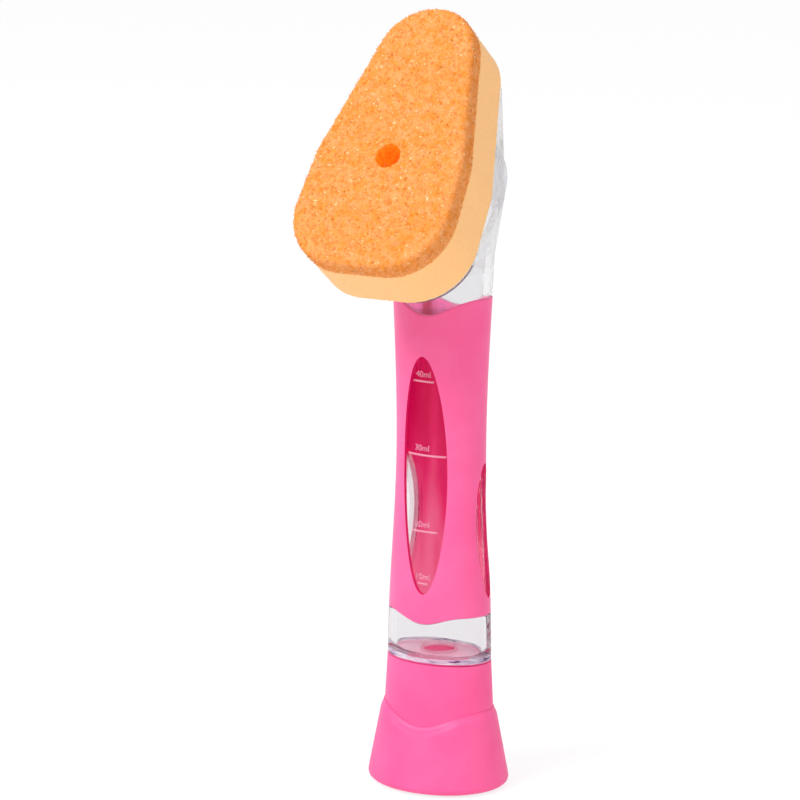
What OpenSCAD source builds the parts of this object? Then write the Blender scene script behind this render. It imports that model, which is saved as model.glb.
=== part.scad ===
// Dish wand that stands on its base. A clear oval handle holds the soap, a push button on the
// back of the head opens a small valve, and the soap leaves through a hole in the sponge.
// The base unscrews to fill the handle, and the sponge refill slides off the head.
// Millimetres. The origin is on the rest face under the handle's axis, +Z is up and the
// sponge faces -Y. In the head's own frame X is across, Y is up along the plate (v) and
// Z is out of the plate towards the scourer (n), with n = 0 on the back of the foam.

/* [Handle] */
// Half width of the clear tube where it meets the base
foot_half_w = 19.5; // [19.2:0.1:20]
// Half width of the grip at its waist
waist_half_w = 16.7; // [16.2:0.1:17.4]
// Half width of the grip at its top edge
neck_half_w = 18.4; // [18:0.1:19]
// Depth of the oval handle over its width
depth_ratio = 0.70; // [0.69:0.01:0.74]
// Height of the seam between base and tube
seam_z = 45.6; // [45:0.1:46.5]
// Height of the waist
waist_z = 123; // [115:1:130]
// Height of the grip's lower edge at the sides
grip_bottom_z = 63; // [61:0.5:65]
// Height of the grip's upper edge at the sides
grip_top_z = 175.7; // [174:0.1:177]
// Thickness of the soft grip
grip_t = 1.6; // [1.4:0.1:1.8]
// Wall of the clear tube
tube_t = 1.8; // [1.6:0.1:2]
// How far the grip's lower edge hangs down at the front and back
tongue_drop = 2.8; // [1:0.1:4]
// How far the grip's upper edge dips at the front and back
notch_drop = 5.8; // [3:0.1:6.5]

/* [Windows] */
// Height of the front window's widest place
window_z = 112; // [108:1:116]
// Half width of the front window
window_half_w = 8.7; // [7:0.1:9.5]
// Reach of the front window above its widest place
window_up = 43.2; // [36:0.2:45]
// Reach of the front window below its widest place
window_down = 41.2; // [36:0.2:43]
// Half width of each side window
side_half_w = 4.2; // [3.4:0.1:5]
// Height of the side windows' middle
side_z = 93; // [90:1:97]
// Half height of the side windows
side_reach = 25.6; // [20:0.2:26]
// Heights of the 10, 20, 30 and 40 ml lines
mark_z = [74.3, 92.9, 120, 146.2];
// Half lengths of those lines
mark_half = [2, 6.6, 7.8, 4.6];

/* [Base] */
// Half width of the flared base
base_half_w = 25.8; // [24.5:0.1:27]
// Half depth of the flared base
base_half_d = 22.2; // [21:0.1:23]
// Half width of the flare at its ridge
ridge_half_w = 21.4; // [21.3:0.1:22.2]
// Half depth of the flare at its ridge
ridge_half_d = 16.4; // [16.2:0.1:17]
// Height of the ridge at the sides
ridge_z = 27.2; // [26:0.2:28]
// How far the ridge dips at the front and back
ridge_drop = 5.8; // [3:0.1:6.2]

/* [Filler] */
// Radius of the threaded neck under the tank
neck_r = 10; // [9.5:0.1:10.2]
// Radius of the filling hole
fill_r = 5.8; // [5:0.1:6.2]
// How far the base drops in one turn
thread_pitch = 3; // [2:0.5:4]
// Free space between the neck or plug and what turns round it
screw_gap = 0.08; // [0.05:0.01:0.1]

/* [Head] */
// Lean of the sponge away from upright, in degrees
head_tilt = 35.7; // [34:0.1:37]
// Place of the head's frame in front of the handle's axis
head_y = -18.05; // [-19:0.05:-17]
// Height of the head's frame
head_z = 212.6; // [211:0.1:214]
// Depth of the front plate's rear face behind the foam
rim_depth = 4.6; // [4.4:0.1:5]
// Wall of the clear head
head_wall = 2.1; // [1.8:0.1:2.4]
// Height on the plate of the soap outlet
outlet_v = 0.4; // [0:0.1:1]

/* [Button] */
// Height of the button's axis
button_z = 215; // [214.5:0.1:215.5]
// How far the button travels
button_travel = 3; // [2:0.1:3]
// Radius of the button's dome
button_r = 8.2; // [7.6:0.1:8.2]
// Radius of the valve stem
stem_r = 1.5; // [1.3:0.1:1.5]
// Number of turns in the return spring
spring_turns = 5; // [4:1:5]

/* [Sponge] */
// Thickness of the foam
foam_t = 18.5; // [17:0.1:20]
// Thickness of the scourer
scour_t = 7.7; // [6:0.1:9]
// Radius of the hole through the sponge
soap_hole_r = 4.5; // [4:0.1:4.8]
// Thickness of the refill's backing plate
carrier_t = 1.8; // [1.6:0.1:2]
// Length of the two dovetail rails
rail_len = 62; // [50:1:64]

/* [Hidden] */

smooth = 96;             // facets of a round form when it is drawn as a mesh
hull_fn = 36;            // facets of the circles inside a hull
slab = 0.4;              // thin slices that a hull spans
form_step = 6.5;         // height of one band of the handle's curve
seat_gap = 0.05;         // room between pieces that are fitted together
ref_half_w = 18;         // half width at which an inset is even all round
collar_slope = 0.055;    // how the base's collar widens downwards, per mm
neck_slope = 0.045;      // how the clear neck widens upwards, per mm

tube_inset = grip_t + tube_t;
floor_z = seam_z + 2.2;
tube_top_z = grip_top_z - notch_drop - 1.9;
spigot_z = tube_top_z - 8.5;
spigot_t = 1.6;
neck_wall = 3.2;
neck_top_z = 196;
head_root_z = 193.6;     // where the head's wedge grows out of the neck
boss_root_z = 190.6;     // where the button's boss grows out of the neck
neck_bottom_z = 33;
cap_top_z = seam_z - seat_gap;
collar_z = 17;           // lower edge of the base's collar
socket_z = 29.5;
socket_floor = 2;
plug_top_z = floor_z - 0.2;
pad_t = 1.6;
pad_half_w = base_half_w - 3.2;
pad_half_d = base_half_d - 3.3;

grip_wave = 14;          // half length of the wave in the grip's lower edge
notch_wave = 18;         // half length of the wave in the grip's upper edge
ridge_wave = 22;         // half length of the wave in the ridge

boss_disc_r = 9.45;      // the boss is a disc with a fully rounded edge
boss_edge_r = 6.3;
boss_y = 15.9;
boss_wall = 1.9;
housing_r = 10.6;
housing_back_y = 20.4;   // where the housing's flange lies in the boss
housing_front_y = 8.5;
flange_r = 12.8;
flange_t = 1.2;
bezel_t = 1.2;
bezel_y = housing_back_y + flange_t;
button_flange_r = 9.4;
button_flange_t = 1.6;
cup_r = 6;               // bore of the valve cup
cup_z = button_z - 2.2;
seat_y = -2.85;          // face that the valve disc closes
seat_t = 1.5;
disc_r = 3.6;
disc_t = 1.8;
stem_head_t = 0.9;

spring_r = 5.5;
wire_r = 0.4;
spring_rings = 8;        // rings in one turn
wire_sides = 6;
spring_y0 = housing_front_y + 2 + wire_r + seat_gap;
spring_y1 = bezel_y - seat_gap - button_flange_t - wire_r - seat_gap;

plate_gap = 0.05;
rail_u = 11.6;
rail_v = -24;
rail_depth = 1.4;
rail_half_w = 2.4;       // at the carrier's face, and 1 mm more at the foot
outlet_r = 2.8;

// Outlines on the head's plate: [across, up, radius] of the circles that they wrap
foam_circles = [[0, 39.7, 18.3], [16.8, -0.9, 11.45], [8.45, -20, 20.7]];
head_circles = [[0, 39.2, 16.9], [16.8, 2.4, 13.1], [8.45, -20, 20.7]];

clear_tint = [0.86, 0.89, 0.92, 0.45];
pink = [0.98, 0.36, 0.64];
pink_dark = [0.9, 0.28, 0.55];
white_soft = [0.93, 0.93, 0.94];
orange = [0.98, 0.62, 0.3];
peach = [0.99, 0.79, 0.55];
steel = [0.7, 0.72, 0.75];
seal_grey = [0.82, 0.83, 0.85];

// Half width of the handle's outside at a height
function half_w(z) =
    z < seam_z ? foot_half_w + collar_slope * (seam_z - z)
    : z < waist_z ? waist_half_w + (foot_half_w - waist_half_w)
        * (1 + cos(180 * (z - seam_z) / (waist_z - seam_z))) / 2
    : z < grip_top_z ? waist_half_w + (neck_half_w - waist_half_w)
        * (1 - cos(90 * (z - waist_z) / (grip_top_z - waist_z)))
    : neck_half_w + neck_slope * (z - grip_top_z);

// Depth over width of the oval that lies an even inset inside the handle
function ratio(inset) = (depth_ratio * ref_half_w - inset) / (ref_half_w - inset);

// Height of a wave across the handle: 1 in the middle, 0 from its half length on
function wave(x, reach) = abs(x) < reach ? (1 + cos(180 * x / reach)) / 2 : 0;

// Solid of the handle's form between two heights, drawn in by an inset
module handle_form(z0, z1, inset) {
    n = ceil((z1 - z0) / form_step);
    side = [for (i = [0:n]) let (z = z0 + (z1 - z0) * i / n) [half_w(z) - inset, z]];
    scale([1, ratio(inset), 1])
        rotate_extrude($fn = smooth)
            polygon(concat([[0, z0]], side, [[0, z1]]));
}

// Everything between two heights, one of them waved across the handle
module waved_block(z, drop, reach, z_far) {
    n = 24;
    edge = [for (i = [0:n]) let (x = reach * (2 * i / n - 1)) [x, z - drop * wave(x, reach)]];
    rotate([90, 0, 0])
        linear_extrude(height = 80, center = true)
            polygon(concat([[-40, z_far], [-40, z]], edge, [[40, z], [40, z_far]]));
}

// Outline of a lens-shaped window: blunt above, more pointed below
function lens(half, up, down, z) = let (n = 16) concat(
    [for (i = [0:n]) let (s = sin(90 * i / n))
        [half * sqrt(max(0, 1 - pow(s, 2.1))), z + up * s]],
    [for (i = [n:-1:1]) let (s = sin(90 * i / n))
        [-half * sqrt(max(0, 1 - pow(s, 2.1))) , z + up * s]],
    [for (i = [0:n]) let (s = sin(90 * i / n))
        [-half * sqrt(max(0, 1 - pow(s, 1.8))), z - down * s]],
    [for (i = [n - 1:-1:1]) let (s = sin(90 * i / n))
        [half * sqrt(max(0, 1 - pow(s, 1.8))), z - down * s]]);

module front_window() {
    rotate([90, 0, 0])
        linear_extrude(height = 30)
            polygon(lens(window_half_w, window_up, window_down, window_z));
}

module side_window() {
    rotate([90, 0, 90])
        linear_extrude(height = 30)
            polygon(lens(side_half_w, side_reach, side_reach, side_z));
}

// Puts what is drawn on the plate into the handle's frame
module on_head() {
    translate([0, head_y, head_z]) rotate([90 - head_tilt, 0, 0]) children();
}

module plate_outline(circles, grow) {
    hull()
        for (c = circles, side = [-1, 1])
            translate([side * c[0], c[1]]) circle(r = c[2] + grow, $fn = 62);
}

module oval_slice(z, inset) {
    translate([0, 0, z])
        linear_extrude(height = slab)
            scale([1, ratio(inset)]) circle(r = half_w(z) - inset, $fn = 72);
}

// A round solid about the button's axis, between two places on it
module along_button(r, y0, y1, z = button_z) {
    translate([0, y1, z]) rotate([90, 0, 0]) cylinder(r = r, h = y1 - y0, $fn = smooth);
}

// Ring of round section about the button's axis
module button_ring(r, section, y) {
    translate([0, y, button_z]) rotate([90, 0, 0])
        rotate_extrude($fn = smooth) translate([r, 0]) circle(r = section, $fn = 24);
}

// Clear soap tank: oval tube, floor, threaded filling neck and volume lines
module tank() color(clear_tint) {
    difference() {
        union() {
            handle_form(seam_z, tube_top_z, grip_t);
            difference() {
                handle_form(seam_z, grip_bottom_z, 0);
                waved_block(grip_bottom_z, tongue_drop, grip_wave, grip_bottom_z + 10);
            }
            for (i = [0:len(mark_z) - 1])
                intersection() {
                    handle_form(mark_z[i] - 0.5, mark_z[i] + 0.5, grip_t - 0.4);
                    translate([-mark_half[i], -30, mark_z[i] - 1])
                        cube([2 * mark_half[i], 30, 2]);
                }
            translate([0, 0, neck_bottom_z])
                cylinder(r = neck_r, h = seam_z - neck_bottom_z + 1, $fn = smooth);
        }
        handle_form(floor_z, tube_top_z + 1, tube_inset);
        translate([0, 0, neck_bottom_z - 1]) cylinder(r = fill_r, h = 20, $fn = smooth);
    }
    translate([0, 0, floor_z])
        difference() {
            cylinder(r = fill_r + 0.8, h = 1, $fn = smooth);
            translate([0, 0, -1]) cylinder(r = fill_r, h = 3, $fn = smooth);
        }
}

// Soft pink grip with waved edges, a front window and two side windows
module grip_sleeve() color(pink) {
    difference() {
        handle_form(grip_bottom_z - tongue_drop, grip_top_z, 0);
        handle_form(grip_bottom_z - tongue_drop - 1, grip_top_z + 1, grip_t - seat_gap);
        difference() {
            translate([-40, -40, 0]) cube([80, 80, grip_bottom_z + 1]);
            waved_block(grip_bottom_z, tongue_drop, grip_wave, grip_bottom_z + 10);
        }
        waved_block(grip_top_z, notch_drop, notch_wave, grip_top_z + 10);
        front_window();
        side_window();
        mirror([1, 0, 0]) side_window();
    }
}

// Oval seal round the head's spigot
module neck_seal() color(seal_grey) {
    difference() {
        handle_form(spigot_z + 3, spigot_z + 4.6, tube_inset + seat_gap);
        handle_form(spigot_z + 2, spigot_z + 5.6, tube_inset + 0.85);
    }
}

// Wedge from the neck to the plate, drawn in by a wall
module head_wedge(inset, rise) {
    hull() {
        on_head() translate([0, 0, -rim_depth - slab]) linear_extrude(height = slab)
            plate_outline(head_circles, -inset);
        oval_slice(head_root_z + rise, inset);
    }
}

// Rounded boss that carries the button, drawn in by a wall
module button_boss(inset, rise) {
    hull() {
        translate([0, boss_y, button_z]) rotate([90, 0, 0])
            rotate_extrude($fn = hull_fn)
                translate([boss_disc_r, 0]) circle(r = boss_edge_r - inset, $fn = 24);
        oval_slice(boss_root_z + rise, inset);
    }
}

// Clear head: hollow neck and wedge, open at the front plate, with the button's boss
module head_shell() color(clear_tint) {
    difference() {
        union() {
            handle_form(spigot_z, tube_top_z + 1, tube_inset + seat_gap);
            handle_form(tube_top_z, neck_top_z, grip_t);
            intersection() {
                handle_form(tube_top_z + 0.5, neck_top_z, 0);
                waved_block(grip_top_z, notch_drop, notch_wave, neck_top_z + 5);
            }
            head_wedge(0, 0);
            button_boss(0, 0);
        }
        difference() {
            handle_form(spigot_z + 2.9, spigot_z + 4.7, 0);
            handle_form(spigot_z + 2, spigot_z + 5.6, tube_inset + 1);
        }
        handle_form(spigot_z - 1, tube_top_z + 1.5, tube_inset + spigot_t);
        handle_form(tube_top_z + 1, neck_top_z, neck_wall);
        head_wedge(head_wall, 1.5);
        button_boss(boss_wall, 2);
        on_head() translate([0, 0, -rim_depth]) linear_extrude(height = 3)
            plate_outline(head_circles, 2);
        along_button(housing_r + seat_gap, 12, 30);
        along_button(flange_r + seat_gap, housing_back_y, 30);
    }
}

// Section of a dovetail rail or groove, wider at its foot
module dovetail(grow) {
    half = rail_half_w + grow;
    foot = -rail_depth - grow;
    polygon([[-half + 0.3, 0.5], [half - 0.3, 0.5], [half + 1, foot], [-half - 1, foot]]);
}

// Front plate of the head, with two dovetail grooves and the soap outlet
module head_plate() color(clear_tint) {
    face = -carrier_t - plate_gap;
    on_head() difference() {
        translate([0, 0, -rim_depth]) linear_extrude(height = rim_depth + face)
            plate_outline(head_circles, 0);
        for (side = [-1, 1])
            translate([side * rail_u, 80, face]) rotate([90, 0, 0])
                linear_extrude(height = 80 - rail_v) dovetail(0.15);
        translate([0, outlet_v, -10]) cylinder(r = outlet_r, h = 20, $fn = smooth);
        translate([0, outlet_v, face - 1.2]) cylinder(r = 5, h = 5, $fn = smooth);
    }
}

// Cup behind the plate that holds the valve seat
module valve_cup() color(clear_tint) {
    difference() {
        along_button(cup_r + 1.5, -24, seat_y + seat_t, cup_z);
        along_button(cup_r, -30, seat_y, cup_z);
        along_button(disc_r - 1, -30, 10);
        on_head() translate([-30, -60, -rim_depth]) cube([60, 120, 40]);
    }
}

// Soft ring that seals the outlet against the refill's plate
module outlet_seal() color(seal_grey) {
    on_head() translate([0, outlet_v, -carrier_t - plate_gap - 1.2]) difference() {
        cylinder(r = 4.95, h = 1.18, $fn = smooth);
        translate([0, 0, -1]) cylinder(r = outlet_r + 0.2, h = 4, $fn = smooth);
    }
}

// Cup in the boss that guides the stem and holds the spring
module button_housing() color(white_soft) {
    difference() {
        union() {
            along_button(housing_r, housing_front_y, housing_back_y + 0.5);
            along_button(flange_r, housing_back_y, bezel_y);
            along_button(4, housing_front_y - 2.4, housing_front_y + 1);
        }
        along_button(button_flange_r + 0.1, housing_front_y + 2, 40);
        along_button(stem_r + 0.06, 0, 40);
        along_button(stem_r + 1.4, housing_front_y - 1.5, housing_front_y);
    }
}

// Ring that seals the stem in its guide
module stem_seal() color(seal_grey) {
    button_ring(stem_r + 0.7, 0.65, housing_front_y - 0.75);
}

// Ring that keeps the button in its housing
module button_bezel() color(white_soft) {
    difference() {
        union() {
            along_button(flange_r, bezel_y, bezel_y + 0.5);
            translate([0, bezel_y + bezel_t, button_z]) rotate([90, 0, 0])
                cylinder(r1 = flange_r - 0.9, r2 = flange_r, h = bezel_t - 0.5, $fn = smooth);
        }
        along_button(button_r + 0.15, bezel_y - 1, bezel_y + 3);
    }
}

// Centre line of the spring at a part of its length from 0 to 1, and one point of a ring round it
function coil_at(t) = let (a = 360 * spring_turns * t)
    [spring_r * cos(a), spring_y0 + (spring_y1 - spring_y0) * t, button_z + spring_r * sin(a)];

function coil_ring(t) = let (a = 360 * spring_turns * t, c = coil_at(t))
    [for (k = [0:wire_sides - 1]) let (w = 360 * k / wire_sides)
        c + wire_r * cos(w) * [cos(a), 0, sin(a)] + wire_r * sin(w) * [0, 1, 0]];

// Helical return spring between the housing's floor and the button
module return_spring() color(steel) {
    n = spring_turns * spring_rings;
    rings = [for (i = [0:n]) coil_ring(i / n)];
    m = wire_sides;
    walls = [for (i = [0:n - 1], k = [0:m - 1]) let (p = i * m + k, q = i * m + (k + 1) % m)
        each [[p, q, q + m], [p, q + m, p + m]]];
    ends = [for (k = [1:m - 2]) each [[0, k + 1, k], [n * m, n * m + k, n * m + k + 1]]];
    polyhedron([for (r = rings) each r], concat(walls, ends));
}

// Least distance between the wire's surfaces in neighbouring turns, measured on its rings
coil_points = [for (i = [0:spring_turns * spring_rings])
    coil_at(i / (spring_turns * spring_rings))];
coil_gap = min([for (i = [0:len(coil_points) - 1], j = [0:len(coil_points) - 1])
    if (j - i >= spring_rings / 2) norm(coil_points[i] - coil_points[j]) - 2 * wire_r]);
echo(return_spring_least_gap_mm = coil_gap);

// Domed button with a guide flange, a spring pocket and a post for the stem
module push_button() color(white_soft) {
    rest_y = bezel_y - seat_gap;
    dome_y = 3.8;
    translate([0, rest_y, button_z]) rotate([-90, 0, 0]) difference() {
        rotate_extrude($fn = smooth) polygon(concat(
            [[0, -button_flange_t], [button_flange_r, -button_flange_t], [button_flange_r, 0],
             [button_r, 0], [button_r, dome_y - 1.6]],
            [for (a = [10:10:90]) [button_r - 2.2 + 2.2 * cos(a), dome_y - 1.6 + sin(a)]],
            [[3, dome_y - 0.15], [0, dome_y]]));
        translate([0, 0, -button_flange_t - 1])
            cylinder(r = spring_r - 0.9, h = button_flange_t + 1.6, $fn = smooth);
    }
    difference() {
        along_button(3, spring_y0 + 4.6, rest_y + 1);
        along_button(stem_r + 0.02, 0, rest_y);
    }
}

// Stem from the button to the valve, with a head that holds the disc
module valve_stem() color(steel) {
    along_button(stem_r, seat_y - disc_t - stem_head_t, bezel_y - seat_gap);
    along_button(2.2, seat_y - disc_t - stem_head_t, seat_y - disc_t - seat_gap);
}

// Soft disc that closes the seat from the outlet's side
module valve_disc() color(seal_grey) {
    difference() {
        along_button(disc_r, seat_y - disc_t - seat_gap, seat_y - seat_gap);
        along_button(stem_r + 0.02, -20, 10);
    }
}

// Flat gasket between the filling neck and the cap's socket
module cap_gasket() color(seal_grey) {
    translate([0, 0, socket_z + socket_floor]) difference() {
        cylinder(r = neck_r - 0.3, h = neck_bottom_z - socket_z - socket_floor - seat_gap,
                 $fn = smooth);
        translate([0, 0, -1]) cylinder(r = fill_r + 0.4, h = 5, $fn = smooth);
    }
}

// Upper base: oval collar, threaded socket for the neck and plug for the filling hole
module cap_body() color(pink) {
    difference() {
        union() {
            difference() {
                collar_form(collar_z, cap_top_z, 0);
                collar_form(collar_z - 1, cap_top_z - 2.2, 2);
            }
            translate([0, 0, socket_z])
                cylinder(r = neck_r + 2, h = cap_top_z - socket_z, $fn = smooth);
        }
        translate([0, 0, socket_z + socket_floor])
            cylinder(r = neck_r + screw_gap, h = 40, $fn = smooth);
    }
    difference() {
        translate([0, 0, socket_z + 0.5])
            cylinder(r = fill_r - screw_gap, h = plug_top_z - socket_z - 0.5, $fn = smooth);
        translate([0, 0, socket_z + socket_floor])
            cylinder(r = fill_r - 2.6, h = plug_top_z - socket_z - 4, $fn = smooth);
        translate([0, 0, seam_z - 1.3]) difference() {
            cylinder(r = fill_r + 1, h = 1.4, $fn = smooth);
            translate([0, 0, -1]) cylinder(r = fill_r - 1.3, h = 4, $fn = smooth);
        }
    }
}

// Straight stretch of the base's oval collar
module collar_form(z0, z1, inset) {
    hull() {
        oval_slice(z0, inset);
        oval_slice(z1 - slab, inset);
    }
}

// Flat oval of a half width and a half depth
module oval(half, deep) {
    polygon([for (a = [0:5:355]) [half * cos(a), deep * sin(a)]]);
}

// Height of the ridge across the base, and its sides' half width and half depth at a height
function ridge_at(x) = ridge_z - ridge_drop * wave(x, ridge_wave);
function flare(z) = let (t = (z - 2.6) / (ridge_z - 2.6))
    [base_half_w + (ridge_half_w - base_half_w) * t, base_half_d + (ridge_half_d - base_half_d) * t];

// Point of one row round the base: a height over the ridge, or over the floor on the lower
// rows, how far it is drawn in, and how much of it follows the collar above
function flare_point(row, a) =
    let (x = ridge_half_w * cos(a), z = row[0] ? ridge_at(x) + row[1] : row[1],
         size = flare(z), collar = half_w(z) + 0.3,
         half = (size[0] - row[2]) * (1 - row[3]) + collar * row[3],
         deep = (size[1] - row[2]) * (1 - row[3]) + collar * ratio(-0.3) * row[3])
    [half * cos(a), deep * sin(a), z];

flare_rows = [[0, 0.5, 2.4, 0], [0, 0.8, 1.4, 0], [0, 1.5, 0.5, 0], [0, 2.6, 0.05, 0],
              [0, 4.5, 0, 0], [0, 12, 0, 0], [1, -1.8, 0, 0], [1, -0.9, 0.12, 0],
              [1, -0.2, 0, 0.3], [1, 0.6, 0, 0.7], [1, 1.5, 0, 1]];

// Outside of the flared base, smooth up to the collar
module flare_form() {
    n = 72;
    rows = len(flare_rows);
    points = [for (row = flare_rows, k = [0:n - 1]) flare_point(row, 360 * k / n)];
    walls = [for (i = [0:rows - 2], k = [0:n - 1])
        let (p = i * n + k, q = i * n + (k + 1) % n)
        each [[p, q + n, q], [p, p + n, q + n]]];
    floor_ring = [for (k = [0:n - 1]) k];
    hub = [0, 0, ridge_z - 1];
    cap = [for (k = [0:n - 1])
        [rows * n, (rows - 1) * n + (k + 1) % n, (rows - 1) * n + k]];
    polyhedron(concat(points, [hub]), concat([floor_ring], walls, cap));
}

// Lower base: flared stand whose ridge follows the same wave as the grip
module base_skirt() color(pink) {
    difference() {
        flare_form();
        hull() {
            translate([0, 0, 2.6]) linear_extrude(height = slab)
                oval(base_half_w - 3, base_half_d - 3);
            translate([0, 0, 14]) linear_extrude(height = slab)
                oval(base_half_w - 5.2, base_half_d - 5.6);
        }
        collar_form(10, collar_z + 1, 2.6);
        collar_form(collar_z, ridge_z + 5, -seat_gap);
        translate([0, 0, -1]) linear_extrude(height = 1 + pad_t)
            oval(pad_half_w + seat_gap, pad_half_d + seat_gap);
    }
}

// Non-slip pad under the base
module foot_pad() color(pink_dark) {
    linear_extrude(height = pad_t) oval(pad_half_w, pad_half_d);
}

// Ring that seals the plug in the filling hole
module plug_seal() color(seal_grey) {
    translate([0, 0, seam_z - 0.6])
        rotate_extrude($fn = smooth) translate([fill_r - 0.67, 0]) circle(r = 0.6, $fn = 24);
}

// Hole through the sponge, along the plate's normal
module soap_hole() {
    translate([0, outlet_v, -20]) cylinder(r = soap_hole_r, h = 80, $fn = smooth);
}

// Backing plate of the refill with two dovetail rails
module sponge_carrier() color(clear_tint) {
    on_head() difference() {
        union() {
            translate([0, 0, -carrier_t]) linear_extrude(height = carrier_t)
                plate_outline(foam_circles, -0.3);
            for (side = [-1, 1])
                translate([side * rail_u, rail_v + 0.1 + rail_len, -carrier_t])
                    rotate([90, 0, 0]) linear_extrude(height = rail_len) dovetail(0);
        }
        soap_hole();
    }
}

// Peach foam body of the sponge
module foam_block() color(peach) {
    on_head() difference() {
        linear_extrude(height = foam_t) plate_outline(foam_circles, 0);
        soap_hole();
    }
}

// Orange scourer bonded to the foam
module scour_pad() color(orange) {
    on_head() difference() {
        translate([0, 0, foam_t]) linear_extrude(height = scour_t)
            plate_outline(foam_circles, 0);
        soap_hole();
    }
}

tank();
grip_sleeve();
neck_seal();
head_shell();
head_plate();
valve_cup();
outlet_seal();
button_housing();
stem_seal();
button_bezel();
return_spring();
push_button();
valve_stem();
valve_disc();
cap_gasket();
cap_body();
base_skirt();
foot_pad();
plug_seal();
sponge_carrier();
foam_block();
scour_pad();
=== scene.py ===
import math
import random

import bmesh
import bpy
from mathutils import Matrix, Vector, noise
from mathutils.geometry import delaunay_2d_cdt


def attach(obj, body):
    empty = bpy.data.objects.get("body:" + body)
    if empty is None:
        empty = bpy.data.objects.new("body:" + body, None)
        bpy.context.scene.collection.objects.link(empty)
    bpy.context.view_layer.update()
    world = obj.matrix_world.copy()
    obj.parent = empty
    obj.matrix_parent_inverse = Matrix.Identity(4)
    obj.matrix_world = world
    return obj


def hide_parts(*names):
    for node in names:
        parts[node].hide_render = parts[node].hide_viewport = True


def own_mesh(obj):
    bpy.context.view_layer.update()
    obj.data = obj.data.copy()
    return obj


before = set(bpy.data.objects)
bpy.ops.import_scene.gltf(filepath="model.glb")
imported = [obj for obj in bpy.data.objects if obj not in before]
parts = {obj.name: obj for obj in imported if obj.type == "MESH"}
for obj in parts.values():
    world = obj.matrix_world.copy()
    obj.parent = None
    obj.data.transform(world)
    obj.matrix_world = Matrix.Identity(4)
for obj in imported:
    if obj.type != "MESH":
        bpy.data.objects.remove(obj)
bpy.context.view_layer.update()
mm = 0.001
print("frame loaded:", len(parts), "nodes")

# The handle's form, in millimetres, as in the part's source
handleForm = {
    "footHalf": 19.5, "footFlare": 0.055, "waistHalf": 16.7, "neckHalf": 18.4, "neckFlare": 0.045,
    "meanHalf": 18.0, "depthRatio": 0.70,
    "seamZ": 45.6, "waistZ": 123.0, "gripBottomZ": 63.0, "gripTopZ": 175.7,
    "tongueDrop": 2.8, "tongueReach": 14.0, "notchDrop": 5.8, "notchReach": 18.0,
    "gripThick": 1.6, "tubeWall": 1.8, "around": 144,
}


def turns(count):
    return [2 * math.pi * k / count for k in range(count)]


def halfWidth(z):
    f = handleForm
    if z < f["seamZ"]:
        return f["footHalf"] + f["footFlare"] * (f["seamZ"] - z)
    if z < f["waistZ"]:
        swing = (1 + math.cos(math.pi * (z - f["seamZ"]) / (f["waistZ"] - f["seamZ"]))) / 2
        return f["waistHalf"] + (f["footHalf"] - f["waistHalf"]) * swing
    if z < f["gripTopZ"]:
        swing = 1 - math.cos(math.pi / 2 * (z - f["waistZ"]) / (f["gripTopZ"] - f["waistZ"]))
        return f["waistHalf"] + (f["neckHalf"] - f["waistHalf"]) * swing
    return f["neckHalf"] + f["neckFlare"] * (z - f["gripTopZ"])


def ovalDepth(half, inset):
    mean = handleForm["meanHalf"]
    return half * ((handleForm["depthRatio"] * mean - inset) / (mean - inset))


def ovalPoint(z, inset, turn):
    half = halfWidth(z) - inset
    return Vector((half * math.cos(turn), ovalDepth(half, inset) * math.sin(turn), z))


def ovalRing(z, inset):
    return [ovalPoint(z, inset, a) for a in turns(handleForm["around"])]


def insideOval(p, inset):
    half = halfWidth(p.z) - inset
    return (p.x / half) ** 2 + (p.y / ovalDepth(half, inset)) ** 2 < 1


def waveDip(x, reach):
    return (1 + math.cos(math.pi * x / reach)) / 2 if abs(x) < reach else 0.0


# Heights of the grip's waved lower and upper edges
def gripBottom(x):
    return handleForm["gripBottomZ"] - handleForm["tongueDrop"] * waveDip(x, handleForm["tongueReach"])


def gripTop(x):
    return handleForm["gripTopZ"] - handleForm["notchDrop"] * waveDip(x, handleForm["notchReach"])


def wavedRing(edge, widthZ, rise, inset):
    # a ring that follows one of the grip's edges
    width = halfWidth(widthZ)
    return [ovalPoint(edge(width * math.cos(a)) + rise, inset, a) for a in turns(handleForm["around"])]


def roundOff(radius, angles):
    # rise and inset of each row round a quarter circle
    bends = [math.radians(a) for a in angles]
    return [(radius * (1 - math.sin(b)), radius * (1 - math.cos(b))) for b in bends]


# Mesh helpers. Points come in millimetres.
def addObject(name, data):
    piece = bpy.data.objects.new(name, data)
    bpy.context.scene.collection.objects.link(piece)
    return piece


def addPiece(name, work):
    mesh = bpy.data.meshes.new(name)
    work.to_mesh(mesh)
    work.free()
    return addObject(name, mesh)


def softShade(piece, angle=35):
    piece.data.shade_smooth()
    piece.data.set_sharp_from_angle(angle=math.radians(angle))


def meshObject(name, points, faces, smoothAngle=35):
    mesh = bpy.data.meshes.new(name)
    mesh.from_pydata([Vector(p) * mm for p in points], [], faces)
    work = bmesh.new()
    work.from_mesh(mesh)
    bmesh.ops.remove_doubles(work, verts=work.verts, dist=1e-7)
    bmesh.ops.recalc_face_normals(work, faces=work.faces)
    work.to_mesh(mesh)
    work.free()
    piece = addObject(name, mesh)
    softShade(piece, smoothAngle)
    return piece


def skinRings(rings, loop=False, caps=False):
    count = len(rings[0])
    points = [p for ring in rings for p in ring]
    faces = []
    for r in range(len(rings) if loop else len(rings) - 1):
        low, high = r * count, (r + 1) % len(rings) * count
        for k in range(count):
            side = (k + 1) % count
            faces.append((low + k, low + side, high + side, high + k))
    if caps:
        faces.append(tuple(range(count)))
        faces.append(tuple((len(rings) - 1) * count + k for k in range(count)))
    return points, faces


def skinned(name, rings, smoothAngle=35):
    return meshObject(name, *skinRings(rings, caps=True), smoothAngle)


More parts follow.
